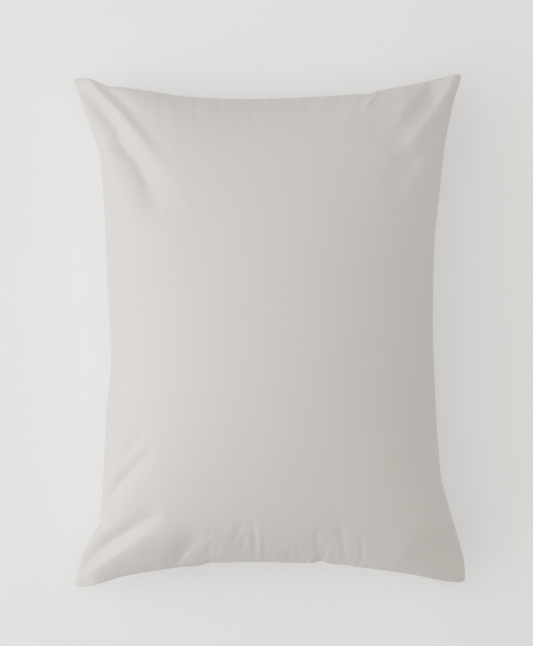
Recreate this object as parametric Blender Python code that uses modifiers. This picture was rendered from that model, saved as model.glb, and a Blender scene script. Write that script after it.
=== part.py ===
"""A plain cotton pillowcase on a plump bed pillow, lying on its back.

Metres, +Z up. The origin is under the middle of the case, on the surface that it lies on.
Seen from above, +X is to the right and +Y is up, along the case's length.

The case is one closed form. A thin box is cut into a grid: its top is the front of the case, its bottom
is the back, and its rim is the sewn edge between them. Each point of the grid has a place (u, v), where u
runs from -1 at the left edge to 1 at the right one, and v from -1 at the bottom edge to 1 at the top one.
The functions below say where such a point ends up once the case is filled.
"""

import bmesh
import bpy
import numpy as np

# ---- The cloth as it is cut and sewn, before it is filled
CUT_WIDTH = 0.508
CUT_LENGTH = 0.660
SEWN_EDGE = 0.0016  # the layers of cloth that are stacked up in the edge

# ---- The filled case
TIPS_WIDTH = 0.980 * CUT_WIDTH  # from tip to tip: filling draws the corners in
TIPS_LENGTH = 0.985 * CUT_LENGTH
EDGE_HEIGHT = 0.078  # of the sewn edge, above the surface, at the middle of a side
TIP_HEIGHT = 0.040  # of the corner tips, which droop
DROOP_POWER = 5  # the higher, the nearer to the tips the edge starts to droop
CROWN = 0.108  # of the front's middle, above the sewn edge
BELLY = 0.115  # how far the back would bulge below the edge if nothing carried it

# A section's fullness is (1 - |place| ** power) ** roundness: across the case, then along it.
FRONT_ACROSS = {"power": 2.0, "roundness": 0.62}
FRONT_ALONG = {"power": 2.6, "roundness": 0.72}
BACK_ACROSS = {"power": 2.4, "roundness": 0.46}
BACK_ALONG = {"power": 3.0, "roundness": 0.56}

# The filling stops short of the tips. These are the ears' shares of half a side.
EAR_ACROSS = 0.36
EAR_ALONG = 0.27

# ---- Where each corner's tip is, off the corner of the tip-to-tip rectangle
TIP_SHIFTS = {
    "bottom_left": (0.0025, 0.0),
    "bottom_right": (0.0, 0.006),
    "top_left": (0.0, -0.004),
    "top_right": (-0.0045, 0.0),
}

# ---- How far the sewn edge is drawn in from the straight line between two tips.
# Each row is (share of the way from the first tip to the second, draw-in).
LEFT_EDGE = (  # from the bottom tip to the top one
    (0.000, 0.0000),
    (0.050, 0.0080),
    (0.100, 0.0220),
    (0.150, 0.0350),
    (0.220, 0.0385),
    (0.350, 0.0430),
    (0.450, 0.0490),
    (0.520, 0.0475),
    (0.630, 0.0440),
    (0.770, 0.0400),
    (0.850, 0.0340),
    (0.920, 0.0185),
    (1.000, 0.0000),
)
RIGHT_EDGE = (  # from the bottom tip to the top one
    (0.000, 0.0000),
    (0.030, 0.0010),
    (0.070, 0.0060),
    (0.145, 0.0203),
    (0.220, 0.0320),
    (0.390, 0.0385),
    (0.500, 0.0403),
    (0.650, 0.0382),
    (0.770, 0.0305),
    (0.860, 0.0232),
    (0.940, 0.0122),
    (1.000, 0.0000),
)
TOP_EDGE = (  # from the left tip to the right one
    (0.000, 0.0000),
    (0.040, 0.0036),
    (0.100, 0.0112),
    (0.200, 0.0199),
    (0.320, 0.0284),
    (0.460, 0.0312),
    (0.620, 0.0290),
    (0.730, 0.0257),
    (0.850, 0.0158),
    (0.940, 0.0062),
    (0.975, 0.0020),
    (1.000, 0.0000),
)
BOTTOM_EDGE = (  # from the left tip to the right one
    (0.000, 0.0000),
    (0.035, 0.0020),
    (0.130, 0.0150),
    (0.250, 0.0250),
    (0.330, 0.0293),
    (0.430, 0.0320),
    (0.560, 0.0302),
    (0.660, 0.0282),
    (0.740, 0.0228),
    (0.860, 0.0132),
    (0.955, 0.0025),
    (1.000, 0.0000),
)

# ---- The main folds of the front, seen from above. Each runs from (x0, y0) to (x1, y1) and fades at both
# ends. A height above 0 is a ridge and below 0 a trough. Left and right are its widths to either side of
# its line, looking from the first end to the second.
FOLD_COLUMNS = ("x0", "y0", "x1", "y1", "height", "left", "right")
FOLDS = {
    "top_left_ridge": (-0.236, 0.322, -0.120, 0.178, 0.009, 0.010, 0.018),
    "top_left_inner_trough": (-0.216, 0.316, -0.130, 0.207, -0.006, 0.014, 0.011),
    "top_left_outer_trough": (-0.234, 0.304, -0.178, 0.214, -0.007, 0.015, 0.012),
    "top_left_lower_trough": (-0.198, 0.243, -0.139, 0.138, -0.008, 0.016, 0.011),
    "top_left_lower_ridge": (-0.222, 0.252, -0.160, 0.115, 0.003, 0.013, 0.011),
    "top_right_ridge": (0.236, 0.322, 0.160, 0.222, 0.009, 0.012, 0.012),
    "top_right_trough": (0.212, 0.316, 0.148, 0.232, -0.006, 0.012, 0.011),
    "top_right_hollow": (0.160, 0.300, 0.128, 0.226, -0.004, 0.014, 0.020),
    "top_right_lower_trough": (0.190, 0.240, 0.146, 0.168, -0.004, 0.013, 0.014),
    "bottom_left_ridge": (-0.238, -0.314, -0.127, -0.241, 0.007, 0.011, 0.015),
    "bottom_left_trough": (-0.236, -0.293, -0.130, -0.223, -0.007, 0.012, 0.011),
    "bottom_left_droop": (-0.215, -0.324, -0.118, -0.300, -0.007, 0.020, 0.012),
    "bottom_left_hollow": (-0.124, -0.303, -0.078, -0.240, -0.005, 0.015, 0.011),
    "bottom_pucker": (-0.012, -0.296, -0.016, -0.226, 0.003, 0.011, 0.011),
    "bottom_right_pucker": (0.099, -0.296, 0.086, -0.222, -0.003, 0.011, 0.011),
    "left_crease": (-0.208, -0.226, -0.140, -0.144, -0.005, 0.012, 0.011),
}

# ---- The grid
COLUMNS = 20
ROWS = 26
EDGE_CROWDING = 0.6  # 0 is an even grid, and 1 is one that crowds towards the edges

CLOTH_COLOUR = (0.70, 0.675, 0.645, 1.0)
CLOTH_ROUGHNESS = 0.85


def clear_scene():
    for obj in list(bpy.data.objects):
        bpy.data.objects.remove(obj)


def smooth_step(share):
    """0 up to a share of 0, 1 from a share of 1, and a smooth rise between them."""
    share = np.clip(share, 0, 1)
    return share * share * (3 - 2 * share)


def curve_through(rows, at):
    """The height at each place in `at` of a curve through the rows (place, height).

    It is a cubic between neighbouring rows. A row's slope is the harmonic mean of the slopes to its two
    neighbours, or level where those change sign, so the curve never swings past a row.
    """
    place, height = np.array(rows).T
    step = np.diff(place)
    slope = np.diff(height) / step
    level = slope[:-1] * slope[1:] <= 0
    total = np.where(level, 1, slope[:-1] + slope[1:])
    inner = np.where(level, 0, 2 * slope[:-1] * slope[1:] / total)
    tangent = np.concatenate([slope[:1], inner, slope[-1:]])
    k = np.clip(np.searchsorted(place, at, side="right") - 1, 0, len(step) - 1)
    t = (at - place[k]) / step[k]
    return (
        height[k] * (1 + 2 * t) * (1 - t) ** 2
        + height[k + 1] * t * t * (3 - 2 * t)
        + step[k] * (tangent[k] * t * (1 - t) ** 2 + tangent[k + 1] * t * t * (t - 1))
    )


def corner_tips():
    """The plan place of each corner's tip."""
    tips = {}
    for name, shift in TIP_SHIFTS.items():
        x = TIPS_WIDTH / 2 * (1 if "right" in name else -1)
        y = TIPS_LENGTH / 2 * (1 if "top" in name else -1)
        tips[name] = np.array([x, y]) + shift
    return tips


def edge_line(share, first, second, inwards, rows):
    """Points of a sewn edge: the straight line between two tips, drawn in by the edge's rows."""
    straight = first + np.outer(share, second - first)
    return straight + np.outer(curve_through(rows, share), inwards)


def plan_of(u, v):
    """Where a point is, seen from above: the four edges blended across the case (a Coons patch)."""
    tips = corner_tips()
    s = (u + 1) / 2
    t = (v + 1) / 2
    left = edge_line(t, tips["bottom_left"], tips["top_left"], (1, 0), LEFT_EDGE)
    right = edge_line(t, tips["bottom_right"], tips["top_right"], (-1, 0), RIGHT_EDGE)
    bottom = edge_line(s, tips["bottom_left"], tips["bottom_right"], (0, 1), BOTTOM_EDGE)
    top = edge_line(s, tips["top_left"], tips["top_right"], (0, -1), TOP_EDGE)
    s = s[:, None]
    t = t[:, None]
    corners = (
        (1 - s) * (1 - t) * tips["bottom_left"]
        + s * (1 - t) * tips["bottom_right"]
        + (1 - s) * t * tips["top_left"]
        + s * t * tips["top_right"]
    )
    return (1 - s) * left + s * right + (1 - t) * bottom + t * top - corners


def edge_height(u, v):
    """The height that the sewn edge has next to a point: level along the sides, drooping at the tips."""
    return EDGE_HEIGHT - (EDGE_HEIGHT - TIP_HEIGHT) * np.abs(u * v) ** DROOP_POWER


def fullness(u, v, across, along):
    """From 0 at the sewn edge to 1 at the middle, and next to nothing in the unfilled ears."""
    section = (1 - np.abs(u) ** across["power"]) ** across["roundness"]
    length = (1 - np.abs(v) ** along["power"]) ** along["roundness"]
    from_tip = np.hypot((1 - np.abs(u)) / EAR_ACROSS, (1 - np.abs(v)) / EAR_ALONG)
    return section * length * smooth_step(from_tip)


def folds_at(plan):
    """How far the main folds lift or lower the front at each plan point."""
    lift = np.zeros(len(plan))
    for row in FOLDS.values():
        fold = dict(zip(FOLD_COLUMNS, row))
        start = np.array([fold["x0"], fold["y0"]])
        run = np.array([fold["x1"], fold["y1"]]) - start
        length = np.hypot(*run)
        ahead = run / length
        left = np.array([-ahead[1], ahead[0]])
        along = np.clip((plan - start) @ ahead / length, 0, 1)
        across = (plan - start) @ left
        width = np.where(across > 0, fold["left"], fold["right"])
        lift += fold["height"] * np.sin(np.pi * along) * np.exp(-((across / width) ** 2))
    return lift


def front_height(u, v, plan):
    calm_at_edge = smooth_step((1 - np.maximum(np.abs(u), np.abs(v))) / 0.12)
    crown = CROWN * fullness(u, v, FRONT_ACROSS, FRONT_ALONG)
    return edge_height(u, v) + SEWN_EDGE / 2 + crown + folds_at(plan) * calm_at_edge


def back_height(u, v):
    """The back's bulge, pressed flat where the surface carries it."""
    bulge = edge_height(u, v) - SEWN_EDGE / 2 - BELLY * fullness(u, v, BACK_ACROSS, BACK_ALONG)
    return np.maximum(bulge, 0)


def crowded(place):
    """Moves evenly spaced places towards the edges, where the case curves most."""
    return (1 - EDGE_CROWDING) * place + EDGE_CROWDING * np.sin(np.pi / 2 * place)


def gridded_box():
    """A box one unit wide, its long sides cut into rows and columns and its rim one cell high."""
    box = bmesh.new()
    bmesh.ops.create_cube(box, size=1)
    for axis, cells in ((0, COLUMNS), (1, ROWS)):
        whole = [e for e in box.edges if abs(e.verts[0].co[axis] - e.verts[1].co[axis]) > 0.5]
        bmesh.ops.subdivide_edges(box, edges=whole, cuts=cells - 1, use_grid_fill=True)
    return box


def keep_rim_crisp(box, on_rim, at_tip):
    """Creases the two lines of the rim and its four upright corner edges, so smoothing leaves them."""
    crease = box.edges.layers.float.new("crease_edge")
    for edge in box.edges:
        first, second = (v.index for v in edge.verts)
        upright = edge.verts[0].co.z != edge.verts[1].co.z
        along_rim = on_rim[first] and on_rim[second] and not upright
        if along_rim or (upright and at_tip[first]):
            edge[crease] = 1.0


def fill_case(box):
    """Carries each point of the box to its place on the filled case."""
    box.verts.index_update()
    unit = np.array([v.co for v in box.verts]) * 2
    is_front = unit[:, 2] > 0
    on_side = np.abs(unit[:, 0]) > 0.999
    on_end = np.abs(unit[:, 1]) > 0.999
    keep_rim_crisp(box, on_side | on_end, on_side & on_end)
    u = np.clip(crowded(unit[:, 0]), -1, 1)
    v = np.clip(crowded(unit[:, 1]), -1, 1)
    plan = plan_of(u, v)
    height = np.where(is_front, front_height(u, v, plan), back_height(u, v))
    for vertex, (x, y), z in zip(box.verts, plan, height):
        vertex.co = (x, y, z)


def cloth_material():
    material = bpy.data.materials.new("pillowcase_cotton")
    material.use_nodes = True
    shader = material.node_tree.nodes["Principled BSDF"]
    shader.inputs["Base Color"].default_value = CLOTH_COLOUR
    shader.inputs["Roughness"].default_value = CLOTH_ROUGHNESS
    shader.inputs["Metallic"].default_value = 0.0
    return material


def make_pillowcase(collection):
    box = gridded_box()
    fill_case(box)
    mesh = bpy.data.meshes.new("pillowcase")
    box.to_mesh(mesh)
    box.free()
    mesh.materials.append(cloth_material())
    mesh.shade_smooth()
    case = bpy.data.objects.new("pillowcase", mesh)
    collection.objects.link(case)
    soften = case.modifiers.new("soften", "SUBSURF")
    soften.levels = 1
    soften.render_levels = 1
    return case


def main():
    clear_scene()
    collection = bpy.data.collections.new("pillowcase")
    bpy.context.scene.collection.children.link(collection)
    make_pillowcase(collection)


main()
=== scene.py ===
# %% [markdown]
# # A pillowcase, filled out by its pillow
#
# The real object is one cotton case on a plump bed pillow. It lies on its back, and its four limp corners
# hang off the filling. It could be sculpted by hand, or inflated from a flat bag. Here the outline and the
# crown are worked out first, so that they land where the real ones are. Blender's cloth simulation then
# loosens both panels, and the main folds and gathers are laid on top.

# %% The frame
import math

import bpy
import numpy as np
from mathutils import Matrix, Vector


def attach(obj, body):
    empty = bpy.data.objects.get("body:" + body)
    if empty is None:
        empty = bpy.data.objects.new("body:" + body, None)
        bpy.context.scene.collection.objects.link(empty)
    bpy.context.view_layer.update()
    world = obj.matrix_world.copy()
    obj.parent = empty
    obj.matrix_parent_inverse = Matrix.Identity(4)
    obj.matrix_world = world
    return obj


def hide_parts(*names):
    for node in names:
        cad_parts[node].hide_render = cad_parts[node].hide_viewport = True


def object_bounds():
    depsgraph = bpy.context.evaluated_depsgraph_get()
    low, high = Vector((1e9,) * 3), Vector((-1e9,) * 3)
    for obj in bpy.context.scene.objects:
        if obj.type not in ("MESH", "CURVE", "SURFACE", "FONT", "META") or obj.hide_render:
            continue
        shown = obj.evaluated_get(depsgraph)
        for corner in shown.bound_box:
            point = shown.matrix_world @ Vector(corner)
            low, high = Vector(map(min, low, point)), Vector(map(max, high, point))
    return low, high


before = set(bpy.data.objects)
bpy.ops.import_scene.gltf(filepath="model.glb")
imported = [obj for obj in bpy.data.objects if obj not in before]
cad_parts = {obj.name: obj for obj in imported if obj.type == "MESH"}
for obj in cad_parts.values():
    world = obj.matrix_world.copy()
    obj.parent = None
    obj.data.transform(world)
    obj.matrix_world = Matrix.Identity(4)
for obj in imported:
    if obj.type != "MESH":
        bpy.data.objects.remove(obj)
cad_low, cad_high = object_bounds()
print("solid's box, mm:", [round(1000 * side) for side in cad_high - cad_low])

# %% [markdown]
# ## The grid that the cloth is drawn on
#
# A case is two flat panels sewn together all round. Each panel is a grid of places (u, v): u runs from -1
# at the left seam to 1 at the right one, and v from -1 at the bottom seam to 1 at the top one. Every
# function below takes whole arrays of such places, so no loop ever visits a single vertex.

# %% Sizes
MM = 0.001
SEAM_HEIGHT = 78 * MM
TIP_HEIGHT = 40 * MM
DROOP_POWER = 5
CROWN = cad_high.z - SEAM_HEIGHT
BELLY = 115 * MM
CUT_WIDTH = 508 * MM
CUT_LENGTH = 660 * MM
print("crown above the seam, mm:", round(1000 * CROWN))


def smooth_step(share):
    """0 up to a share of 0, 1 from a share of 1, and 3 s^2 - 2 s^3 between them."""
    share = np.clip(share, 0, 1)
    return share * share * (3 - 2 * share)


# %% [markdown]
# ## The outline
#
# Filling a case draws its sides in, because the cloth has to go over the crown. The corners stay out,
# since the filling doesn't reach them. Each side is a straight line between two tips, drawn in by a short
# table. Tracing the outline as one long list of points would also work, but nobody could change it later.

# %% The four sides
# Each row is (share of the way from the first tip to the second, draw-in in mm).
SIDES = {
    "left": ((0, 0), (0.05, 8), (0.10, 22), (0.15, 35), (0.22, 38.5), (0.35, 43), (0.45, 49), (0.52, 47.5),
             (0.63, 44), (0.77, 40), (0.85, 34), (0.92, 18.5), (1, 0)),
    "right": ((0, 0), (0.03, 1), (0.07, 6), (0.145, 20.3), (0.22, 32), (0.39, 38.5), (0.50, 40.3),
              (0.65, 38.2), (0.77, 30.5), (0.86, 23.2), (0.94, 12.2), (1, 0)),
    "bottom": ((0, 0), (0.035, 2), (0.13, 15), (0.25, 25), (0.33, 29.3), (0.43, 32), (0.56, 30.2),
               (0.66, 28.2), (0.74, 22.8), (0.86, 13.2), (0.955, 2.5), (1, 0)),
    "top": ((0, 0), (0.04, 3.6), (0.10, 11.2), (0.20, 19.9), (0.32, 28.4), (0.46, 31.2), (0.62, 29),
            (0.73, 25.7), (0.85, 15.8), (0.94, 6.2), (0.975, 2), (1, 0)),
}
TIPS = {
    "bottom_left": np.array([cad_low.x + 2.5 * MM, cad_low.y]),
    "bottom_right": np.array([cad_high.x, cad_low.y + 6 * MM]),
    "top_left": np.array([cad_low.x, cad_high.y - 4 * MM]),
    "top_right": np.array([cad_high.x - 4.5 * MM, cad_high.y]),
}
ENDS = {
    "left": ("bottom_left", "top_left", (1, 0)),
    "right": ("bottom_right", "top_right", (-1, 0)),
    "bottom": ("bottom_left", "bottom_right", (0, 1)),
    "top": ("top_left", "top_right", (0, -1)),
}
deepest = {side: max(draw_in for _, draw_in in rows) for side, rows in SIDES.items()}
print("deepest draw-in of each side, mm:", deepest)

# %% [markdown]
# Straight lines between the rows would leave a kink at each of them, and an ordinary spline would swing out
# between two uneven ones. A cubic with careful slopes is smooth and stays between its rows.

# %% A curve through a table
def curve_through(rows, at):
    """Heights of a curve through the rows (place, height): a cubic between neighbouring rows.

    A row's slope is the harmonic mean of the slopes to its two neighbours, or level where those change
    sign, so the curve never swings past a row.
    """
    place, height = np.array(rows).T
    step = np.diff(place)
    slope = np.diff(height) / step
    level = slope[:-1] * slope[1:] <= 0
    total = np.where(level, 1, slope[:-1] + slope[1:])
    inner = np.where(level, 0, 2 * slope[:-1] * slope[1:] / total)
    tangent = np.concatenate([slope[:1], inner, slope[-1:]])
    k = np.clip(np.searchsorted(place, at, side="right") - 1, 0, len(step) - 1)
    t = (at - place[k]) / step[k]
    return (
        height[k] * (1 + 2 * t) * (1 - t) ** 2
        + height[k + 1] * t * t * (3 - 2 * t)
        + step[k] * (tangent[k] * t * (1 - t) ** 2 + tangent[k + 1] * t * t * (t - 1))
    )


def side_line(side, share):
    """The straight line from one tip to the next, moved inwards by the side's draw-in."""
    first, second, inwards = ENDS[side]
    straight = TIPS[first] + share[..., None] * (TIPS[second] - TIPS[first])
    return straight + MM * curve_through(SIDES[side], share)[..., None] * np.array(inwards)


halfway = np.array([0.5])
print("middle of the left side, mm:", np.round(1000 * side_line("left", halfway)[0]))

# %% [markdown]
# Small nicks sit where a pleat or a hollow meets the seam. They are kept apart from the four tables,
# because they must stay at the seam: mixed into the tables they would run as streaks right across.

# %% Nicks along the seams
# Each row is (side, share of the way, depth inwards in mm, half width as a share).
NICKS = (
    ("left", 0.125, 4, 0.012),
    ("left", 0.845, 2, 0.02),
    ("bottom", 0.31, -1.5, 0.025),
    ("bottom", 0.35, 1.5, 0.02),
    ("bottom", 0.63, 3.5, 0.012),
    ("top", 0.04, -2, 0.02),
    ("top", 0.095, 2, 0.02),
    ("top", 0.757, 2, 0.012),
)
NICK_REACH = 0.06


def nicks(u, v):
    """How far the nicks move (u, v): a bell curve along the seam, gone NICK_REACH away from it."""
    along = {"left": (v + 1) / 2, "right": (v + 1) / 2, "bottom": (u + 1) / 2, "top": (u + 1) / 2}
    away = {"left": 1 + u, "right": 1 - u, "bottom": 1 + v, "top": 1 - v}
    move = np.zeros(u.shape + (2,))
    for side, share, depth, half_width in NICKS:
        size = depth * MM * np.exp(-(((along[side] - share) / half_width) ** 2))
        size = size * (1 - smooth_step(away[side] / NICK_REACH))
        move += size[..., None] * np.array(ENDS[side][2])
    return move


print("nicks:", len(NICKS))

# %% [markdown]
# A sewn corner can't be turned out to a sharp point, so each tip is pushed in a little.

# %% The plan
TIP_ROUND = 3 * MM


def blunting(u, v):
    """How far (u, v) moves towards the middle at a tip: a bell curve of its distance from the tip."""
    from_tip = np.hypot((1 - np.abs(u)) * CUT_WIDTH, (1 - np.abs(v)) * CUT_LENGTH) / 2
    size = TIP_ROUND * np.exp(-((from_tip / TIP_ROUND) ** 2))
    return size[..., None] * -np.stack([np.sign(u), np.sign(v)], axis=-1) / np.sqrt(2)


def plan_of(u, v):
    """Where (u, v) is, seen from above: the four sides blended across the case, the nicks and the tips.

    It is left and right mixed by u, plus bottom and top mixed by v, less the corners that both count.
    """
    s, t = (u + 1) / 2, (v + 1) / 2
    left, right = side_line("left", t), side_line("right", t)
    bottom, top = side_line("bottom", s), side_line("top", s)
    s, t = s[..., None], t[..., None]
    corners = (
        (1 - s) * (1 - t) * TIPS["bottom_left"]
        + s * (1 - t) * TIPS["bottom_right"]
        + (1 - s) * t * TIPS["top_left"]
        + s * t * TIPS["top_right"]
    )
    blend = (1 - s) * left + s * right + (1 - t) * bottom + t * top - corners
    return blend + nicks(u, v) + blunting(u, v)


middle = plan_of(np.array([-1.0, 1.0]), np.array([0.0, 0.0]))
print("width across the middle, mm:", round(1000 * (middle[1, 0] - middle[0, 0])))

# %% [markdown]
# ## The filling
#
# A section through a full pillow is steep at the seam and flatter in the middle. The power curve
# (1 - |place| ** power) ** roundness gives that with two numbers. Across times along makes the crown, and
# it fades towards the tips, where two layers of cloth lie on each other with nothing between them.

# %% Heights of front and back
FRONT_ACROSS = {"power": 2.0, "roundness": 0.62}
FRONT_ALONG = {"power": 2.6, "roundness": 0.72}
BACK_ACROSS = {"power": 2.4, "roundness": 0.46}
BACK_ALONG = {"power": 3.0, "roundness": 0.56}
EAR_ACROSS = 0.36
EAR_ALONG = 0.27


def filled(u, v):
    """0 at the tips, and 1 where the filling starts: the smooth step of the distance from the tip."""
    return smooth_step(np.hypot((1 - np.abs(u)) / EAR_ACROSS, (1 - np.abs(v)) / EAR_ALONG))


def fullness(u, v, across, along):
    """From 0 at the seam to 1 in the middle: a power curve each way, where the case is filled."""
    section = (1 - np.abs(u) ** across["power"]) ** across["roundness"]
    length = (1 - np.abs(v) ** along["power"]) ** along["roundness"]
    return section * length * filled(u, v)


def seam_height(u, v):
    """Level along the sides and drooping towards the tips, as |u v| ** DROOP_POWER."""
    return SEAM_HEIGHT - (SEAM_HEIGHT - TIP_HEIGHT) * np.abs(u * v) ** DROOP_POWER


print("fullness halfway to the right seam:", round(fullness(0.5, 0.0, FRONT_ACROSS, FRONT_ALONG), 2))

# %% [markdown]
# ## The two panels
#
# The front rises from the seam to the crown. The back hangs below the seam, and where the case is full it
# presses flat on the surface it lies on. Both are still perfectly smooth here.

# %% Front and back
def front_panel(u, v):
    """The front at (u, v): the seam's height, plus CROWN times the fullness."""
    plan = plan_of(u, v)
    height = seam_height(u, v) + CROWN * fullness(u, v, FRONT_ACROSS, FRONT_ALONG)
    return np.concatenate([plan, height[..., None]], axis=-1)


def back_panel(u, v):
    """The back at (u, v): the seam's height, less BELLY times the fullness, but never below the surface."""
    plan = plan_of(u, v)
    bulge = seam_height(u, v) - BELLY * fullness(u, v, BACK_ACROSS, BACK_ALONG)
    return np.concatenate([plan, np.maximum(bulge, 0)[..., None]], axis=-1)


centre = np.zeros(1)
heights = [round(1000 * panel(centre, centre)[0, 2]) for panel in (front_panel, back_panel)]
print("height of front and back in the middle, mm:", heights)

# %% [markdown]
# The steep flanks would get long thin cells, so the places are shifted until each cell holds the same
# length of cloth. The two middle sections set the shift, and it dies out at the seams, which both panels
# share.

# %% Places that share the cloth out evenly
SECTION_PLACES = 801


def even_places(panel, a, b):
    """The place (u, v) that lies a share a across and b along the cloth of a panel.

    The length along each middle section is summed up, and looked up at the share. The shift that this
    gives is multiplied by 1 - b^2 across and by 1 - a^2 along.
    """
    fine = np.linspace(-1, 1, SECTION_PLACES)

    def spread(line, at):
        """The place that lies the share (at + 1) / 2 of the way along a section."""
        length = np.concatenate([[0], np.cumsum(np.linalg.norm(np.diff(line, axis=0), axis=1))])
        return np.interp((at + 1) / 2, length / length[-1], fine)

    u = a + (spread(panel(fine, 0 * fine), a) - a) * (1 - b * b)
    v = b + (spread(panel(0 * fine, fine), b) - b) * (1 - a * a)
    return u, v


u_halfway, v_halfway = even_places(front_panel, halfway, halfway)
print("u and v halfway along the cloth each way:", round(u_halfway[0], 2), round(v_halfway[0], 2))

# %% [markdown]
# ## Loosening the cloth
#
# A panel is cut a little larger than the shape it is filled to. The seams draw in along a curve, and the
# cloth beside them has to buckle into small puckers. The simulation knows that by itself: the seam is
# pinned, the cloth beside it is allowed to grow by SLACK, and the filling presses from inside. The empty
# corners get no pressure and keep their drawn shape, since their few folds are laid on later. The
# result is read back as plain positions, so no live simulation is left.
#
# First a sheet becomes a mesh. Vertex groups say what varies over it, with a weight for each vertex.

# %% A sheet as a mesh
WEIGHT_STEPS = 20


def put_group(item, name, weights):
    """A vertex group from an array of weights, rounded to WEIGHT_STEPS even steps."""
    group = item.vertex_groups.new(name=name)
    levels = np.round(WEIGHT_STEPS * weights.ravel()).astype(int)
    for level in range(WEIGHT_STEPS + 1):
        group.add(np.flatnonzero(levels == level).tolist(), level / WEIGHT_STEPS, "REPLACE")


def quads(index):
    """The four corners of each cell of a grid of vertex numbers, counter-clockwise."""
    return np.stack([index[:-1, :-1], index[:-1, 1:], index[1:, 1:], index[1:, :-1]], axis=-1).reshape(-1, 4)


def sheet_object(sheet, upwards):
    """An object of a grid of positions, whose faces look up or down."""
    rows, columns = sheet.shape[:2]
    faces = quads(np.arange(rows * columns).reshape(rows, columns))
    mesh = bpy.data.meshes.new("sheet")
    mesh.from_pydata(sheet.reshape(-1, 3).tolist(), [], (faces if upwards else faces[:, ::-1]).tolist())
    item = bpy.data.objects.new("sheet", mesh)
    bpy.context.scene.collection.objects.link(item)
    return item


print("corners of the first cell of a 3 x 3 grid:", quads(np.arange(9).reshape(3, 3))[0])

# %% [markdown]
# Cotton hardly stretches, but it bends easily. So its threads are stiff, its bending is soft, and where it
# has cloth to spare it buckles into small waves. Softer threads would blow up like a balloon instead.

# %% The cloth's settings
PRESSURE = 8.0
FRAMES = 24


def make_cloth(item, most_slack):
    """Blender's cloth on a sheet that has the groups "seam", "tight" and "pressed"."""
    modifier = item.modifiers.new("cloth", "CLOTH")
    settings = modifier.settings
    settings.quality = 7
    settings.mass = 0.2
    settings.tension_stiffness = settings.compression_stiffness = 40
    settings.shear_stiffness = 5
    settings.bending_stiffness = 0.5
    settings.tension_damping = settings.compression_damping = settings.shear_damping = 5
    settings.vertex_group_mass = "seam"
    settings.shrink_min = -most_slack
    settings.shrink_max = 0
    settings.vertex_group_shrink = "tight"
    settings.use_pressure = True
    settings.uniform_pressure_force = PRESSURE
    settings.vertex_group_pressure = "pressed"
    settings.effector_weights.gravity = 0
    modifier.collision_settings.use_collision = False
    modifier.point_cache.frame_end = FRAMES


print("frames to simulate:", FRAMES)

# %% [markdown]
# A run steps through the frames one by one, because each depends on the one before. Then the positions are
# copied out of the sheet as Blender shows it, and the sheet itself is thrown away.

# %% The simulation of one panel
def loosened(sheet, slack, pressed, upwards):
    """A grid of positions after the cloth simulation.

    slack is how much the cloth may grow at each place, and pressed is where the filling pushes it.
    """
    item = sheet_object(sheet, upwards)
    seam = np.ones(sheet.shape[:2])
    seam[1:-1, 1:-1] = 0
    put_group(item, "seam", seam)
    put_group(item, "tight", 1 - slack / slack.max())
    put_group(item, "pressed", pressed)
    make_cloth(item, slack.max())
    for step in range(1, FRAMES + 1):
        bpy.context.scene.frame_set(step)
    shown = item.evaluated_get(bpy.context.evaluated_depsgraph_get()).data
    flat = np.empty(sheet.size, np.float32)
    shown.vertices.foreach_get("co", flat)
    bpy.data.objects.remove(item)
    bpy.context.scene.frame_set(1)
    return flat.reshape(sheet.shape).astype(float)


print("helper for a simulation: loosened")

# %% [markdown]
# The front gets the finer grid, since the picture shows it. The back is mostly flat on the surface, so half
# as many cells each way are enough there.

# %% Both panels
# How much the cloth may grow beside each seam, and how far in that reaches as a share of the half width.
SLACK = {"left": 0.003, "right": 0.003, "bottom": 0.0045, "top": 0.003}
SLACK_REACH = 0.35
# A place is 1 from a tip when it lies these shares of the half width and half length away from it.
PRESSED_ACROSS = 0.5
PRESSED_ALONG = 0.4
# How far from a tip the filling starts to press, and how far from it the cloth starts to move.
PRESSED_FROM = 0.3
MOVED_FROM = 0.7
FRONT_CELLS = (128, 168)
BACK_CELLS = (64, 84)


def settled_panel(panel, cells, upwards):
    """A grid of positions of a panel after the simulation, which leaves the tips as they were drawn.

    The pressure is a smooth step from none at PRESSED_FROM to full 1 further on, and the kept movement one
    from none at MOVED_FROM to full at twice that. The slack is the sum of four smooth steps, each from
    SLACK at its seam to none at SLACK_REACH, times the pressure.
    """
    a, b = np.meshgrid(np.linspace(-1, 1, cells[0] + 1), np.linspace(-1, 1, cells[1] + 1))
    u, v = even_places(panel, a, b)
    sheet = panel(u, v)
    away = {"left": 1 + a, "right": 1 - a, "bottom": 1 + b, "top": 1 - b}
    from_tip = np.hypot((1 - np.abs(u)) / PRESSED_ACROSS, (1 - np.abs(v)) / PRESSED_ALONG)
    pressed = smooth_step(from_tip - PRESSED_FROM)
    slack = pressed * sum(SLACK[side] * (1 - smooth_step(away[side] / SLACK_REACH)) for side in SLACK)
    moved = loosened(sheet, slack, pressed, upwards) - sheet
    moved *= smooth_step((from_tip - MOVED_FROM) / MOVED_FROM)[..., None]
    print("cloth moved by up to, mm:", round(1000 * np.linalg.norm(moved, axis=2).max(), 1))
    return sheet + moved


front_cloth = settled_panel(front_panel, FRONT_CELLS, True)
back_cloth = settled_panel(back_panel, BACK_CELLS, False)

# %% [markdown]
# ## One fine grid for both panels
#
# The simulated sheets are coarser than the picture needs. They are sampled again on one finer grid, with
# three extra rows beside each seam for its rounded edge. Weights for that are worked out once for each
# direction, and one matrix product on either side samples a whole sheet.

# %% Sampling a sheet
COLUMNS = 190
ROWS = 246
EXTRA_PLACES = (0.0008, 0.0022, 0.0048)


def close_to_seams(count):
    """Even places from -1 to 1, and three more close to either end."""
    extra = np.array(EXTRA_PLACES) * 2
    return np.sort(np.concatenate([np.linspace(-1, 1, count + 1), extra - 1, 1 - extra]))


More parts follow.
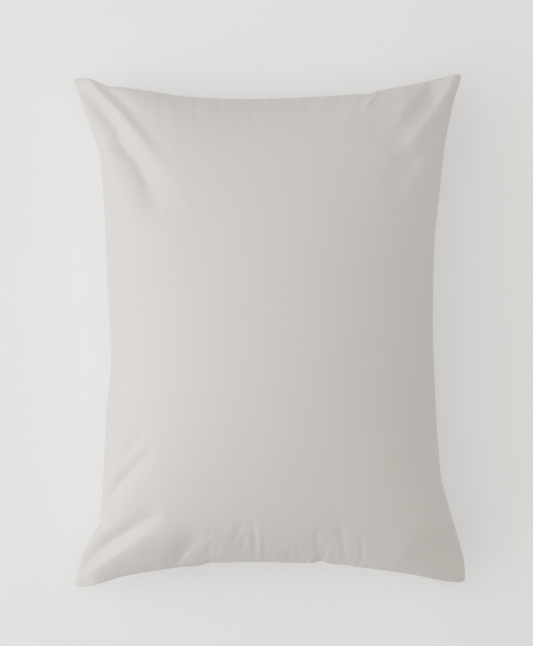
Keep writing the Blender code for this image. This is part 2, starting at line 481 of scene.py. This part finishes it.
def weights_for(places, cells):
    """One row of weights for each place: a cubic through the four nearest samples of an even row.

    Past either end, the missing sample is twice the last one less the one before it.
    """
    x = (places + 1) / 2 * cells
    k = np.clip(x.astype(int), 0, cells - 1)
    t = x - k
    nearest = (t * (-1 + t * (2 - t)), 2 + t * t * (3 * t - 5), t * (1 + t * (4 - 3 * t)), t * t * (t - 1))
    weights = np.zeros((len(places), cells + 3))
    for step, weight in enumerate(nearest):
        weights[np.arange(len(places)), k + step] = weight / 2
    weights[:, 1] += 2 * weights[:, 0]
    weights[:, 2] -= weights[:, 0]
    weights[:, -2] += 2 * weights[:, -1]
    weights[:, -3] -= weights[:, -1]
    return weights[:, 1:-1]


def sampled(sheet, a, b):
    """A sheet at all crossings of the places a and b: weights down it, times it, times weights across it."""
    down = weights_for(b, sheet.shape[0] - 1)
    over = weights_for(a, sheet.shape[1] - 1)
    return np.einsum("ri,ijk,cj->rck", down, sheet, over, optimize=True)


print("sum of each place's weights:", weights_for(np.linspace(-1, 1, 5), 4).sum(axis=1))

# %% [markdown]
# The pressure changes the height of the crown a little. So the part above the seam is scaled back to the
# height of the solid, and the back is kept on or above the surface it lies on.

# %% Both panels on the fine grid
a_line, b_line = close_to_seams(COLUMNS), close_to_seams(ROWS)
a, b = np.meshgrid(a_line, b_line)
front = sampled(front_cloth, a_line, b_line)
back = sampled(back_cloth, a_line, b_line)
rise = front[..., 2].max() - SEAM_HEIGHT
print("crown after the simulation, mm:", round(1000 * rise))
over_seam = front[..., 2] - SEAM_HEIGHT
front[..., 2] = np.where(over_seam > 0, SEAM_HEIGHT + over_seam * CROWN / rise, front[..., 2])
back[..., 2] = np.maximum(back[..., 2], 0)

# %% [markdown]
# ## The main folds
#
# The limp corners fold where the cloth is pulled towards the filling. Each fold is a bent line through
# three points, seen from above, and mostly gets wider on its way into the filling. Across its line it is a
# bell curve, with one width to its left and another to its right, because a real fold leans over. Folds
# could come from noise or from the simulation, but then none would lie where the real ones do. They are
# laid on after it, since the pressure would blow a trough out into a ridge.

# %% The table of folds
# Points are (x, y) in mm. Height is in mm, below 0 for a trough. Peak is where it is highest, from 0 at its
# start to 1 at its end. Left and right are its half widths in mm, seen when going from start to end, and
# spread is how many times wider the end is than the start. Shape is 2 for a round hill or hollow, and
# close to 1 for a sharp crease. A line may start off the cloth, so that its fold is already high at the
# seam, and two rows on one line make a fold with a steep side and a gentle one.
FOLD_COLUMNS = ("start", "middle", "end", "height", "peak", "left", "right", "spread", "shape")
FOLDS = {
    "top_left_crest": ((-236, 322), (-170, 255), (-120, 180), 7, 0.3, 6, 13, 1.5, 2),
    "top_left_outer_trough": ((-239, 311), (-196, 261), (-178, 214), -9, 0.5, 15, 10, 1.2, 1.4),
    "top_left_lower_trough": ((-198, 243), (-160, 202), (-139, 138), -8.5, 0.5, 16, 9, 1.4, 1.6),
    "top_left_outer_crest": ((-222, 252), (-190, 190), (-160, 115), 3, 0.45, 13, 9, 1.3, 2),
    "top_left_inner_trough": ((-222, 316), (-168, 262), (-133, 207), -3.6, 0.45, 18, 6, 1.2, 1.6),
    "top_left_tail": ((-123, 188), (-106, 165), (-89, 142), 1, 0.5, 4, 4, 1.0, 1.5),
    "top_right_crest": ((243, 337), (215, 287), (160, 213), 12, 0.35, 17, 8, 0.75, 2),
    "top_right_tip_lift": ((256, 342), (232, 314), (205, 282), 10, 0.26, 26, 26, 1.0, 2),
    "top_right_trough": ((207, 317), (189, 281), (140, 224), -6.5, 0.42, 8, 7.5, 1.4, 1.8),
    "top_right_inner_crest": ((204, 322), (175, 280), (134, 230), 2, 0.5, 6, 8, 1.4, 2),
    "top_right_hollow": ((170, 302), (149, 264), (136, 228), -4.5, 0.45, 18, 22, 1.2, 2),
    "top_right_lower_trough": ((184, 228), (167, 203), (146, 164), -4.5, 0.5, 18, 14, 1.2, 2),
    "top_right_lower_crest": ((199, 218), (187, 199), (162, 164), 1.6, 0.55, 8, 7, 1.2, 2),
    "bottom_left_crest": ((-238, -317), (-192, -282), (-136, -246), 5.2, 0.33, 7, 13.5, 1.3, 2),
    "bottom_left_trough": ((-236, -295), (-190, -261), (-132, -223), -9.5, 0.54, 10, 7, 1.4, 1.8),
    "bottom_left_droop": ((-215, -326), (-172, -312), (-118, -300), -9, 0.5, 22, 8, 1.0, 1.6),
    "bottom_left_hollow": ((-124, -301), (-103, -275), (-82, -248), -3.4, 0.42, 17, 3.8, 1.1, 1.8),
    "bottom_left_sag": ((-124, -301), (-103, -275), (-82, -248), -5.4, 0.42, 17, 50, 1.0, 2),
    "left_trough": ((-210, -226), (-178, -182), (-138, -142), -8, 0.42, 7, 7, 1.3, 1.7),
    "left_upper_trough": ((-190, -176), (-172, -146), (-150, -118), -3.5, 0.5, 7, 7, 1.2, 1.7),
}
print("main folds:", len(FOLDS))


# %% [markdown]
# The lift of a fold needs three things of a point: how far along the fold's line it is, on which side of the
# line, and how far from it. Only the nearest place on the line matters, so that is looked up first.

# %% The line of a fold, and the hill along it
def bent_line(start, middle, end, at):
    """A parabola through three points, the middle one at t = 0.5.

    It is (1-t)^2 start + 2 t (1-t) pull + t^2 end, and the pull is set by the middle.
    """
    start, middle, end = (np.array(point) * MM for point in (start, middle, end))
    pull = 2 * middle - (start + end) / 2
    t = at[:, None]
    return (1 - t) ** 2 * start + 2 * t * (1 - t) * pull + t * t * end


def hill_along(t, peak):
    """0 at either end and 1 at the peak: (t / peak) ** (2 peak) times the same from the other end."""
    up = (t / peak) ** (2 * peak)
    down = ((1 - t) / (1 - peak)) ** (2 * (1 - peak))
    return up * down


print("hill with its peak at 0.3, in quarters:", np.round(hill_along(np.linspace(0, 1, 5), 0.3), 2))

# %% [markdown]
# A point's side of the line comes from the direction of the line there: the cross product of that direction
# with the way to the point is above 0 on the left. Its size is the distance from the line.

# %% The lift of a table of folds
LINE_PLACES = 61
# A fold is worked out up to this many half widths away from its line, divided by its shape.
FOLD_REACH = 6


def fold_lift(plan, fold):
    """The lift of one fold at each plan point.

    The nearest of LINE_PLACES along the line gives how far along a point is and how far to its left. The
    lift is the height, times the hill along the line, times a bell curve across it that widens on the way.
    """
    along = np.linspace(0, 1, LINE_PLACES)
    line = bent_line(fold["start"], fold["middle"], fold["end"], along)
    ahead = np.gradient(line, axis=0)
    ahead /= np.linalg.norm(ahead, axis=1, keepdims=True)
    offset = plan[:, None, :] - line
    nearest = np.argmin((offset**2).sum(axis=2), axis=1)
    offset = offset[np.arange(len(plan)), nearest]
    ahead = ahead[nearest]
    to_left = ahead[:, 0] * offset[:, 1] - ahead[:, 1] * offset[:, 0]
    t = along[nearest]
    width = np.where(to_left > 0, fold["left"], fold["right"]) * MM * (1 + (fold["spread"] - 1) * t)
    across = np.exp(-np.abs(to_left / width) ** fold["shape"])
    return fold["height"] * MM * hill_along(t, fold["peak"]) * across


def folds_at(plan, table=FOLDS):
    """The sum of all folds of a table, each worked out only within reach of its own line."""
    flat = plan.reshape(-1, 2)
    lift = np.zeros(len(flat))
    for row in table.values():
        fold = dict(zip(FOLD_COLUMNS, row))
        reach = FOLD_REACH / fold["shape"] * MM * max(fold["left"], fold["right"]) * fold["spread"]
        points = np.array([fold["start"], fold["middle"], fold["end"]]) * MM
        near = np.all((flat > points.min(axis=0) - reach) & (flat < points.max(axis=0) + reach), axis=1)
        lift[near] += fold_lift(flat[near], fold)
    return lift.reshape(plan.shape[:-1])


folds = folds_at(front[..., :2])
print("folds reach from, to, mm:", np.round([1000 * folds.min(), 1000 * folds.max()], 1))

# %% [markdown]
# ## Pleats and gathers
#
# Some sharp pleats run off the seams where the cloth is nipped. They are narrower than a cell of the
# simulation, so they are laid on afterwards, with the same kind of table as the main folds.

# %% The pleats
PLEATS = {
    "top_notch": ((142, 304), (128, 290), (112, 270), 4, 0.42, 2.5, 4, 1.2, 2),
    "top_second_nip": ((111, 304), (107, 287), (93, 271), 2.2, 0.4, 4, 3, 1.2, 2),
    "bottom_soft_pleat": ((-69, -288), (-51, -257), (-47, -225), 1.1, 0.4, 5, 5, 1.2, 2),
    "bottom_pucker": ((-15, -296), (-17, -266), (-21, -234), -2, 0.5, 3, 2.2, 1.0, 2),
    "bottom_pucker_crest": ((-8, -294), (-11, -264), (-14, -236), 1.1, 0.5, 2.5, 2.5, 1.1, 2),
    "bottom_short_pucker": ((-6, -294), (-6, -278), (-8, -262), -1.5, 0.4, 2.5, 2.5, 1.0, 2),
    "bottom_right_pleat": ((99, -296), (91, -258), (86, -222), -1.6, 0.35, 3.5, 3, 1.3, 2),
    "bottom_right_nip": ((118, -298), (116, -276), (113, -254), -1.2, 0.4, 3, 3, 1.0, 2),
}
pleats = folds_at(front[..., :2], PLEATS)
print("pleats:", len(PLEATS))

# %% [markdown]
# Where a needle has drawn the seam up a little, fine pleats a finger's width apart run off it. They are
# uneven, and there are more of them in the middle of the bottom. A row of hills with chance heights,
# fading away from the seam, gives them. The chance numbers come from a fixed seed.

# %% The table of gathers
# Start and end are shares of the side. Spacing, height and reach (how far they fade in) are in mm.
GATHER_COLUMNS = ("side", "start", "end", "spacing", "height", "reach")
GATHERS = (
    ("bottom", 0.28, 0.78, 5.5, 0.85, 30),
    ("bottom", 0.24, 0.85, 9, 0.5, 18),
    ("top", 0.15, 0.80, 7, 1.0, 17),
    ("top", 0.18, 0.90, 12, 0.9, 30),
    ("left", 0.15, 0.85, 11, 0.3, 14),
    ("right", 0.15, 0.85, 11, 0.3, 14),
)
# A hill lies up to this share of the spacing off its place, and is at least this share of the full height.
OFF_PLACE = 0.3
LEAST_HILL = 0.3
chance = np.random.default_rng(7)


def gather_lift(a, b):
    """The lift of all gathers: hills of chance heights along a seam, times exp(-distance / reach)."""
    share = {"left": (b + 1) / 2, "right": (b + 1) / 2, "bottom": (a + 1) / 2, "top": (a + 1) / 2}
    away = {"left": (1 + a) / 2, "right": (1 - a) / 2, "bottom": (1 + b) / 2, "top": (1 - b) / 2}
    length = {"left": CUT_LENGTH, "right": CUT_LENGTH, "bottom": CUT_WIDTH, "top": CUT_WIDTH}
    across = {"left": CUT_WIDTH, "right": CUT_WIDTH, "bottom": CUT_LENGTH, "top": CUT_LENGTH}
    lift = np.zeros(a.shape)
    for row in GATHERS:
        gather = dict(zip(GATHER_COLUMNS, row))
        side = gather["side"]
        count = int((gather["end"] - gather["start"]) * length[side] / (gather["spacing"] * MM))
        place = np.linspace(gather["start"], gather["end"], count)
        place[1:-1] += chance.uniform(-OFF_PLACE, OFF_PLACE, count - 2) * (place[1] - place[0])
        height = chance.uniform(LEAST_HILL, 1, count) * np.where(np.arange(count) % 2, 1, -1)
        height[[0, -1]] = 0
        rows = np.column_stack([place, height])
        line = curve_through(rows, np.clip(share[side], gather["start"], gather["end"]))
        distance = away[side] * across[side] / MM
        lift += gather["height"] * MM * line * np.exp(-distance / gather["reach"])
    return lift


gathers = gather_lift(a, b) + pleats
print("gathers and pleats reach from, to, mm:", np.round([1000 * gathers.min(), 1000 * gathers.max()], 1))

# %% [markdown]
# ## Laying the folds on, and rounding the seam
#
# The front takes every fold. In the corners the back lies against the front, so it follows the same folds
# there, and along a seam it follows them for a finger's width. The turned seam is a little roll of four
# layers of cloth: a quarter circle above the seam line and one below it. The back always stays a cloth's
# thickness below the front, and never goes below the surface it lies on.

# %% The lifts and the seam's roll
RIM_RADIUS = 1.3 * MM
CLOTH_GAP = 1.5 * MM
# How far the folds and the gathers go round the seam, into the back.
FOLDS_ROUND = 12 * MM
GATHERS_ROUND = 8 * MM
from_seam = np.minimum((1 - np.abs(a)) * CUT_WIDTH, (1 - np.abs(b)) * CUT_LENGTH) / 2
follows = np.maximum(1 - filled(a, b), np.exp(-from_seam / FOLDS_ROUND))
rim = RIM_RADIUS * np.sqrt(1 - (1 - np.clip(from_seam / RIM_RADIUS, 0, 1)) ** 2)
front[..., 2] += folds + gathers + rim
back[..., 2] += folds * follows + gathers * np.exp(-from_seam / GATHERS_ROUND) - rim
back[..., 2] = np.maximum(np.minimum(back[..., 2], front[..., 2] - np.minimum(2 * rim, CLOTH_GAP)), 0)
print("front's top, mm:", round(1000 * front[..., 2].max(), 1))

# %% [markdown]
# ## One closed mesh
#
# Both panels use the same places, so they can share the points of the seam: the outermost rows and columns
# of the back are those of the front. The mesh is closed that way without any points to merge afterwards.

# %% The mesh
inside = np.zeros(a.shape, bool)
inside[1:-1, 1:-1] = True
front_index = np.arange(a.size).reshape(a.shape)
back_index = front_index.copy()
back_index[inside] = a.size + np.arange(inside.sum())
points = np.vstack([front.reshape(-1, 3), back[inside]])
faces = np.vstack([quads(front_index), quads(back_index)[:, ::-1]])
mesh = bpy.data.meshes.new("pillowcase_cloth")
mesh.from_pydata(points.tolist(), [], faces.tolist())
mesh.shade_smooth()
case = bpy.data.objects.new("pillowcase_cloth", mesh)
bpy.context.scene.collection.objects.link(case)
print("triangles:", 2 * len(faces))

# %% [markdown]
# A weave runs straight along the cloth, not straight along the room. So each corner of each face also gets
# its place on the flat panel before sewing, in metres from the panel's middle. The material reads only that,
# and its threads then follow every fold.

# %% A flat map of the cloth
flat_places = np.stack([a * CUT_WIDTH, b * CUT_LENGTH], axis=-1) / 2
flat_places = np.vstack([flat_places.reshape(-1, 2), flat_places[inside]])
corners = np.empty(len(mesh.loops), np.int32)
mesh.loops.foreach_get("vertex_index", corners)
flat_map = mesh.uv_layers.new(name="flat_cloth")
flat_map.uv.foreach_set("vector", flat_places[corners].astype(np.float32).ravel())
print("flat size of a panel, mm:", np.round(1000 * np.ptp(flat_places, axis=0)))

# %% [markdown]
# ## The cotton
#
# The case is woven from fine unbleached cotton in a plain weave, the cloth that is called percale: each
# thread goes over one and under the next. From where the camera is, the threads melt into a matt, slightly
# uneven off-white, and close up they show. An image of cloth could be wrapped round the case, but it would
# be soft close up, so the threads are worked out from the flat map, which is in metres. The shader is put
# together from four small groups. Each has one job, and puts out heights or masks that vary over the cloth.


# %% Helpers for shader nodes
def plug(tree, value, socket):
    """Links the value to the socket if it comes from a node, or else sets it there."""
    if isinstance(value, bpy.types.NodeSocket):
        tree.links.new(value, socket)
    else:
        socket.default_value = value


def maths(tree, operation, *values):
    """The result of one operation on values, which may come from nodes."""
    node = tree.nodes.new("ShaderNodeMath")
    node.operation = operation
    for value, socket in zip(values, node.inputs):
        plug(tree, value, socket)
    return node.outputs["Value"]


def two_sides(tree, flat):
    """How far across and along the flat map a place is, in metres from the middle."""
    node = tree.nodes.new("ShaderNodeSeparateXYZ")
    plug(tree, flat, node.inputs["Vector"])
    return node.outputs["X"], node.outputs["Y"]


def noise(tree, flat, spot, detail=2.0):
    """Soft noise from 0 to 1, whose spots have the given width and length in metres."""
    shrunk = tree.nodes.new("ShaderNodeVectorMath")
    shrunk.operation = "DIVIDE"
    plug(tree, flat, shrunk.inputs[0])
    shrunk.inputs[1].default_value = (*spot, 1)
    node = tree.nodes.new("ShaderNodeTexNoise")
    node.inputs["Scale"].default_value = 1
    node.inputs["Detail"].default_value = detail
    plug(tree, shrunk.outputs["Vector"], node.inputs["Vector"])
    return node.outputs["Fac"]


print("helpers for nodes: plug, maths, two_sides, noise")

# %% [markdown]
# A group is a small node tree with a name. Its inputs and outputs have names too, so whoever uses it in a
# material can change its measures without opening it.

# %% Helpers for groups
def new_group(name, inputs, outputs):
    """An empty group with the named inputs, which start at the given values, and number outputs."""
    tree = bpy.data.node_groups.new(name, "ShaderNodeTree")
    tree.interface.new_socket("Flat", in_out="INPUT", socket_type="NodeSocketVector")
    for label, value in inputs.items():
        tree.interface.new_socket(label, in_out="INPUT", socket_type="NodeSocketFloat").default_value = value
    for label in outputs:
        tree.interface.new_socket(label, in_out="OUTPUT", socket_type="NodeSocketFloat")
    return tree, tree.nodes.new("NodeGroupInput").outputs, tree.nodes.new("NodeGroupOutput").inputs


def use_group(tree, group, flat, **values):
    """The outputs of a group that is used in a tree, with its inputs set by name."""
    node = tree.nodes.new("ShaderNodeGroup")
    node.node_tree = group
    plug(tree, flat, node.inputs["Flat"])
    for label, value in values.items():
        plug(tree, value, node.inputs[label])
    return node.outputs


print("helpers for groups: new_group, use_group")

# %% [markdown]
# In a plain weave the crossings alternate like the squares of a chessboard. The product of two sine waves
# has that pattern: where it is above 0 the upright thread, the warp, is on top, and where it is below 0 the
# level one, the weft, is. The thread on top is round across its run and nearly level along it, and between
# the threads lie small gaps. Two soft noises make the threads wander, since no loom keeps them straight.

# %% The plain weave
THREAD = 0.32 * MM
WANDER = 0.4 * MM
# The powers of a sine wave that make a thread round across its run, and nearly level along it.
ROUND_POWER = 0.6
LEVEL_POWER = 0.15
weave_inputs = {"Thread": THREAD, "Wander": WANDER}
weave_group, given, result = new_group("plain_weave", weave_inputs, ("Height", "Gap", "Warp"))
across, along = two_sides(weave_group, given["Flat"])
wandering = []
for side, spot in ((across, (9 * MM, 6 * MM)), (along, (6 * MM, 9 * MM))):
    sway = noise(weave_group, given["Flat"], spot)
    wandering.append(maths(weave_group, "MULTIPLY_ADD", sway, given["Wander"], side))
turn = maths(weave_group, "DIVIDE", math.pi, given["Thread"])
waves = [maths(weave_group, "SINE", maths(weave_group, "MULTIPLY", place, turn)) for place in wandering]
on_top = maths(weave_group, "GREATER_THAN", maths(weave_group, "MULTIPLY", *waves), 0)
sizes = [maths(weave_group, "ABSOLUTE", wave) for wave in waves]
rounded = [maths(weave_group, "POWER", size, ROUND_POWER) for size in sizes]
levelled = [maths(weave_group, "POWER", size, LEVEL_POWER) for size in sizes]
warp_form = maths(weave_group, "MULTIPLY", rounded[0], levelled[1])
weft_form = maths(weave_group, "MULTIPLY", levelled[0], rounded[1])
difference = maths(weave_group, "SUBTRACT", warp_form, weft_form)
height = maths(weave_group, "MULTIPLY_ADD", difference, on_top, weft_form)
plug(weave_group, height, result["Height"])
plug(weave_group, maths(weave_group, "SUBTRACT", 1, height), result["Gap"])
plug(weave_group, on_top, result["Warp"])
print("threads across a panel:", round(CUT_WIDTH / THREAD))

# %% [markdown]
# Spun cotton is never even. A thread is thicker and paler for a few centimetres, then thinner. The noise is
# stretched along the thread, one noise for each direction, and the weave says which of them is on top.

# %% Uneven threads
thread_group, given, result = new_group("uneven_threads", {"Warp": 0.5}, ("Tone",))
upright = noise(thread_group, given["Flat"], (0.6 * MM, 30 * MM))
level = noise(thread_group, given["Flat"], (30 * MM, 0.6 * MM))
lower = maths(thread_group, "MULTIPLY", level, maths(thread_group, "SUBTRACT", 1, given["Warp"]))
plug(thread_group, maths(thread_group, "MULTIPLY_ADD", upright, given["Warp"], lower), result["Tone"])
print("nodes for uneven threads:", len(thread_group.nodes))

# %% [markdown]
# Beside a seam the stitches hold the cloth a little short, so fine puckers run straight off it. They fade
# out within two finger widths. Which seam is nearest says which way they run.

# %% Puckers beside the seams
PUCKER_REACH = 18 * MM
pucker_group, given, result = new_group("seam_puckers", {"Reach": PUCKER_REACH}, ("Height", "Near"))
across, along = two_sides(pucker_group, given["Flat"])
to_side = maths(pucker_group, "SUBTRACT", CUT_WIDTH / 2, maths(pucker_group, "ABSOLUTE", across))
to_end = maths(pucker_group, "SUBTRACT", CUT_LENGTH / 2, maths(pucker_group, "ABSOLUTE", along))
fading = maths(pucker_group, "DIVIDE", maths(pucker_group, "MINIMUM", to_side, to_end), given["Reach"])
near = maths(pucker_group, "EXPONENT", maths(pucker_group, "MULTIPLY", fading, -1))
by_side = maths(pucker_group, "LESS_THAN", to_side, to_end)
from_side = noise(pucker_group, given["Flat"], (40 * MM, 5 * MM))
from_end = noise(pucker_group, given["Flat"], (5 * MM, 40 * MM))
difference = maths(pucker_group, "SUBTRACT", from_side, from_end)
chosen = maths(pucker_group, "MULTIPLY_ADD", difference, by_side, from_end)
plug(pucker_group, maths(pucker_group, "MULTIPLY", chosen, near), result["Height"])
plug(pucker_group, near, result["Near"])
print("nodes for puckers:", len(pucker_group.nodes))

# %% [markdown]
# A washed and ironed case keeps faint crumples, a hand's breadth across with finer ones between them. They
# are far too shallow for geometry, so they are only a bump.

# %% Faint crumples
# How much the fine crumples add to the broad ones, and how much more of them a seam has.
FINE_SHARE = 0.2
FINE_AT_SEAM = 0.6
crumple_group, given, result = new_group("faint_crumples", {"Near": 0.0}, ("Height", "Patch"))
broad = noise(crumple_group, given["Flat"], (60 * MM, 60 * MM), 1)
fine = noise(crumple_group, given["Flat"], (14 * MM, 18 * MM), 3)
share = maths(crumple_group, "MULTIPLY_ADD", given["Near"], FINE_AT_SEAM, FINE_SHARE)
plug(crumple_group, maths(crumple_group, "MULTIPLY_ADD", fine, share, broad), result["Height"])
plug(crumple_group, noise(crumple_group, given["Flat"], (150 * MM, 200 * MM), 1), result["Patch"])
print("nodes for crumples:", len(crumple_group.nodes))

# %% [markdown]
# The groups meet in one material. It needs two more helpers: one mixes two colours, and one turns heights
# into a bump. Reliefs are stacked, each on the normal of the one before.

# %% Colour and relief
def mixed(tree, share, first, second):
    """A colour between two, by the share of the second."""
    node = tree.nodes.new("ShaderNodeMix")
    node.data_type = "RGBA"
    plug(tree, share, node.inputs["Factor"])
    for value, socket in zip((first, second), [side for side in node.inputs if side.type == "RGBA"]):
        plug(tree, value, socket)
    return next(side for side in node.outputs if side.type == "RGBA")


def bumped(tree, height, depth, normal=None):
    """A normal for a relief of the given depth in metres, on top of an earlier one."""
    node = tree.nodes.new("ShaderNodeBump")
    node.inputs["Strength"].default_value = 1
    node.inputs["Distance"].default_value = depth
    plug(tree, height, node.inputs["Height"])
    if normal:
        plug(tree, normal, node.inputs["Normal"])
    return node.outputs["Normal"]


print("helpers for a material: mixed, bumped")

# %% [markdown]
# Gaps between threads are painted a little darker and warmer. That is painted shade, standing for the shade
# between the threads and for light that has passed through more cotton there. The uneven threads and broad
# patches add the cotton's own tone. So one number says how far the colour is from plain cloth to the darker
# cloth, and everything that makes a difference adds its part to it.

# %% The cotton's colour
CLOTH = (0.824, 0.814, 0.806, 1)
# The darker colour is partly the cotton's own uneven tone and partly painted shade between the threads.
DARK_TONE_AND_SHADE_CLOTH = (0.716, 0.684, 0.656, 1)
PLAIN_SHARE = 0.2
cotton = bpy.data.materials.new("percale_cotton")
cotton.use_nodes = True
tree = cotton.node_tree
shader = tree.nodes["Principled BSDF"]
flat_node = tree.nodes.new("ShaderNodeUVMap")
flat_node.uv_map = flat_map.name
flat = flat_node.outputs["UV"]
weave = use_group(tree, weave_group, flat, Thread=THREAD, Wander=WANDER)
threads = use_group(tree, thread_group, flat, Warp=weave["Warp"])
puckers = use_group(tree, pucker_group, flat, Reach=PUCKER_REACH)
crumples = use_group(tree, crumple_group, flat, Near=puckers["Near"])
# Each row is (where it comes from, how far it moves the colour towards the darker cloth). The gaps' row is
# painted shade between the threads. Where the upright thread is on top, the colour is a little lighter. The
# uneven threads and the broad patches are the cotton's own tone.
TONES_AND_SHADE = ((weave["Gap"], 0.35), (weave["Warp"], -0.08), (threads["Tone"], -0.4), (crumples["Patch"], 0.12))
shade = PLAIN_SHARE
for source, share in TONES_AND_SHADE:
    shade = maths(tree, "MULTIPLY_ADD", source, share, shade)
plug(tree, mixed(tree, shade, CLOTH, DARK_TONE_AND_SHADE_CLOTH), shader.inputs["Base Color"])
print("things that shade the colour:", len(TONES_AND_SHADE))

# %% [markdown]
# Washed cotton is matt. Short fibres stand up from its threads and catch light at a low angle, which the
# shader's sheen stands for. The threads, crumples and puckers are each a relief of their own depth.

# %% The cotton's surface
ROUGHNESS = 0.84
GAP_ROUGHNESS = 0.1
PUCKER_DEPTH = 0.8 * MM
CRUMPLE_DEPTH = 0.5 * MM
THREAD_DEPTH = 0.05 * MM
TONE_HEIGHT = 0.6
plug(tree, maths(tree, "MULTIPLY_ADD", weave["Gap"], GAP_ROUGHNESS, ROUGHNESS), shader.inputs["Roughness"])
relief = bumped(tree, puckers["Height"], PUCKER_DEPTH)
relief = bumped(tree, crumples["Height"], CRUMPLE_DEPTH, relief)
thread_height = maths(tree, "MULTIPLY_ADD", threads["Tone"], TONE_HEIGHT, weave["Height"])
plug(tree, bumped(tree, thread_height, THREAD_DEPTH, relief), shader.inputs["Normal"])
shader.inputs["Specular IOR Level"].default_value = 0.3
shader.inputs["Sheen Weight"].default_value = 0.12
shader.inputs["Sheen Roughness"].default_value = 0.5
mesh.materials.append(cotton)
print("nodes in the cotton:", len(tree.nodes))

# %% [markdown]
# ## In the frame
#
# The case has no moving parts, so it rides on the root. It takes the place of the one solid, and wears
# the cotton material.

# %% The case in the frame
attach(case, "root")
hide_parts("pillowcase")
print("on the root, in place of the solid:", case.name)

# %% [markdown]
# ## The studio
#
# The ground is one wide sheet of matt white paper, lit so evenly from all around that it nearly glows. A
# little emission stands for that even part, and the rest of its brightness comes from the lights, so the
# case still casts its soft shade on it.

# %% The floor
FLOOR_SIZE = 16.0
PAPER = (0.620, 0.613, 0.606, 1)
# The glow comes from the same fit to the photo as the lights below.
GLOW = (0.972, 0.998, 1.030, 1)
GLOW_STRENGTH = 0.290
bpy.ops.mesh.primitive_plane_add(size=FLOOR_SIZE)
floor = bpy.context.object
floor.name = "studio_floor"
paper = bpy.data.materials.new("studio_paper")
paper.use_nodes = True
paper_shader = paper.node_tree.nodes["Principled BSDF"]
paper_shader.inputs["Base Color"].default_value = PAPER
paper_shader.inputs["Roughness"].default_value = 1.0
paper_shader.inputs["Specular IOR Level"].default_value = 0.0
paper_shader.inputs["Emission Color"].default_value = GLOW
paper_shader.inputs["Emission Strength"].default_value = GLOW_STRENGTH
floor.data.materials.append(paper)
print("floor, m:", FLOOR_SIZE)

# %% [markdown]
# Daylight comes in low from the left through a wide window, with some more from the sky above it. White
# walls and a white ceiling give most of it back from the other sides, slightly warmer. That leaves the left
# flank bright, the right flank shaded, and the folds soft. A single hard lamp would draw them much sharper.
#
# Most of these strengths and tints weren't chosen by eye. The case was rendered under each light alone, and
# a separate program found the mix that comes closest to the photo, by least squares. The places were picked
# from the sets of candidates that it ranked best. Only the watts of ceiling and reflector were changed after.


# %% The lights
def area_light(name, place, size, watts, tint):
    """A rectangular light at a place, turned towards the origin."""
    light = bpy.data.lights.new(name, "AREA")
    light.shape = "RECTANGLE"
    light.size, light.size_y = size
    light.energy = watts
    light.color = tint
    lamp = bpy.data.objects.new(name, light)
    bpy.context.scene.collection.objects.link(lamp)
    lamp.location = place
    lamp.rotation_euler = (-place).to_track_quat("-Z", "Y").to_euler()


LIGHTS = {
    # name: (degrees round from the right, degrees above the floor, distance, (width, height), watts, tint)
    "window": (180, 30, 2.5, (4.0, 1.5), 19.1, (0.949, 0.946, 1.105)),
    "skylight": (180, 55, 2.5, (4.0, 1.5), 13.1, (0.993, 1.061, 0.946)),
    "ceiling": (180, 89, 3.4, (3.0, 3.0), 21.4, (0.939, 0.983, 1.077)),
    "reflector": (30, 15, 2.5, (2.0, 1.0), 6.5, (0.981, 0.996, 1.023)),
}
for name, (around, above, distance, size, watts, tint) in LIGHTS.items():
    around, above = math.radians(around), math.radians(above)
    level = math.cos(above)
    direction = Vector((math.cos(around) * level, math.sin(around) * level, math.sin(above)))
    area_light(name, direction * distance, size, watts, tint)
print("lights:", ", ".join(LIGHTS))

# %% [markdown]
# What the four lights leave dark gets a dim, even light from all around, a little warmer than they are. The
# plain view transform keeps the colours as they are worked out, without a film's curve on top.

# %% The light from all around
# These two come from the same fit to the photo as the lights above.
WORLD_TINT = (1.112, 1.008, 0.879, 1)
WORLD_STRENGTH = 0.328
world = bpy.data.worlds.new("studio")
world.use_nodes = True
background = world.node_tree.nodes["Background"]
background.inputs["Color"].default_value = WORLD_TINT
background.inputs["Strength"].default_value = WORLD_STRENGTH
bpy.context.scene.world = world
bpy.context.scene.view_settings.view_transform = "Standard"
print("strength of the world:", WORLD_STRENGTH)

# %% [markdown]
# The camera looks straight down. A long lens from far above keeps the outline almost free of perspective.
# The picture's height is measured at the height of the seam, which is the case's outline from there.

# %% The camera
CAMERA_ABOVE_SEAM = 4.2
PICTURE_HEIGHT = 0.8126
AIM = (-0.0031, 0.0101)
camera_data = bpy.data.cameras.new("camera")
camera_data.sensor_width = 36
camera_data.lens = camera_data.sensor_width * CAMERA_ABOVE_SEAM / PICTURE_HEIGHT
camera = bpy.data.objects.new("camera", camera_data)
bpy.context.scene.collection.objects.link(camera)
camera.location = (*AIM, SEAM_HEIGHT + CAMERA_ABOVE_SEAM)
bpy.context.scene.camera = camera
print("lens, mm:", round(camera_data.lens))
